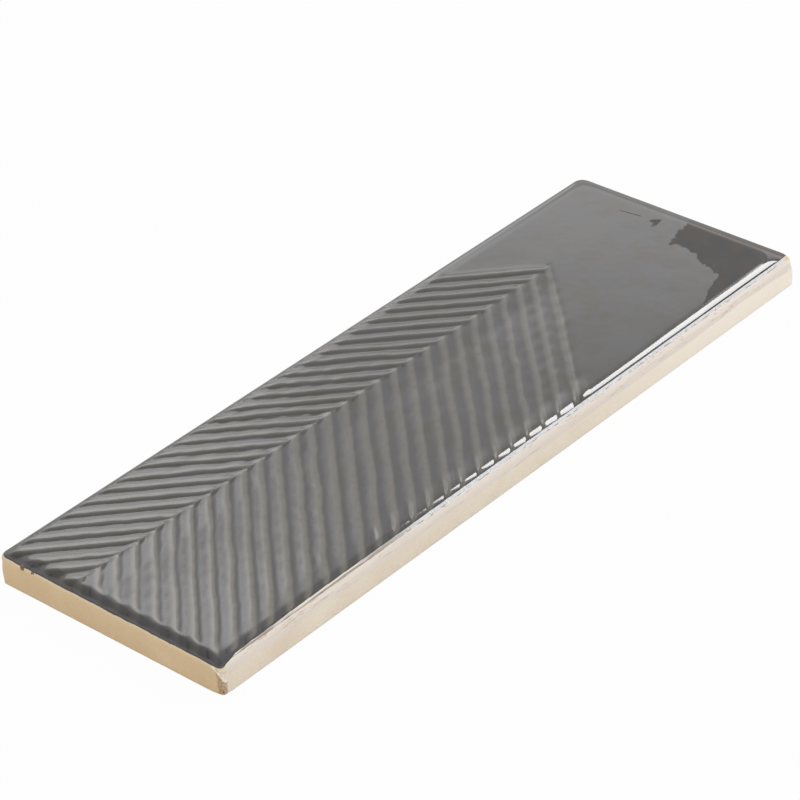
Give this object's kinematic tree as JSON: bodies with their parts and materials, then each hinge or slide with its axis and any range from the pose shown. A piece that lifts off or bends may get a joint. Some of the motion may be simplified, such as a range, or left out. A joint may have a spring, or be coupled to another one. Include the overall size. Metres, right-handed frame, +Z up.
{
  "type": "subway tile",
  "caption": "Long glazed ceramic wall tile with a softly rounded face edge, an off-centre raised chevron relief over most of its face and a shallow keyed back",
  "frame": {"origin": "middle of the underside", "axes": "X across the tile, Y along it with the plain end at +Y, Z up out of the glazed face"},
  "size_m": [0.065, 0.2, 0.009],
  "materials": {
    "glaze": "gloss grey glaze on a bare cream bisque body"
  },
  "bodies": {
    "root": {"ceramic_tile": "glaze"}
  },
  "joints": []
}
